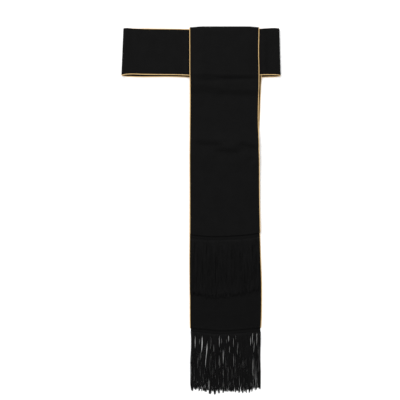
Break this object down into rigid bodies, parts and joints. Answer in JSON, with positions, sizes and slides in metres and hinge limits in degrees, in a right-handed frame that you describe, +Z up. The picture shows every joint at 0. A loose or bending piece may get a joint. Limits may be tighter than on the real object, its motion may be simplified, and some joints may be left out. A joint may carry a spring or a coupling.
{
  "type": "band cincture",
  "caption": "Fringed band cincture laid flat: a closed black waistband and long falls folded over it, edged with gold piping and ending in black cord fringes.",
  "frame": {"origin": "middle of the bounding box's underside, on the surface that the cincture lies on", "axes": "+X along the waistband, towards its shorter side; +Y up the falls, from the fringes to the waistband; +Z up from the surface"},
  "size_m": [0.3812, 0.8784, 0.0156],
  "materials": {
    "black_cloth": "plain matt weave",
    "gold_piping": "satin over a cord",
    "black_cord": "twisted cord with a soft lustre",
    "closure_tape": "hook and loop"
  },
  "bodies": {
    "root": {"waistband": "black_cloth", "waistband_piping_top": "gold_piping", "waistband_piping_bottom": "gold_piping", "closure_hook_tape": "closure_tape", "closure_loop_tape": "closure_tape", "falls": "black_cloth", "falls_piping_left": "gold_piping", "falls_piping_right": "gold_piping", "fringe_front": "black_cord", "fringe_back": "black_cord"}
  },
  "joints": []
}
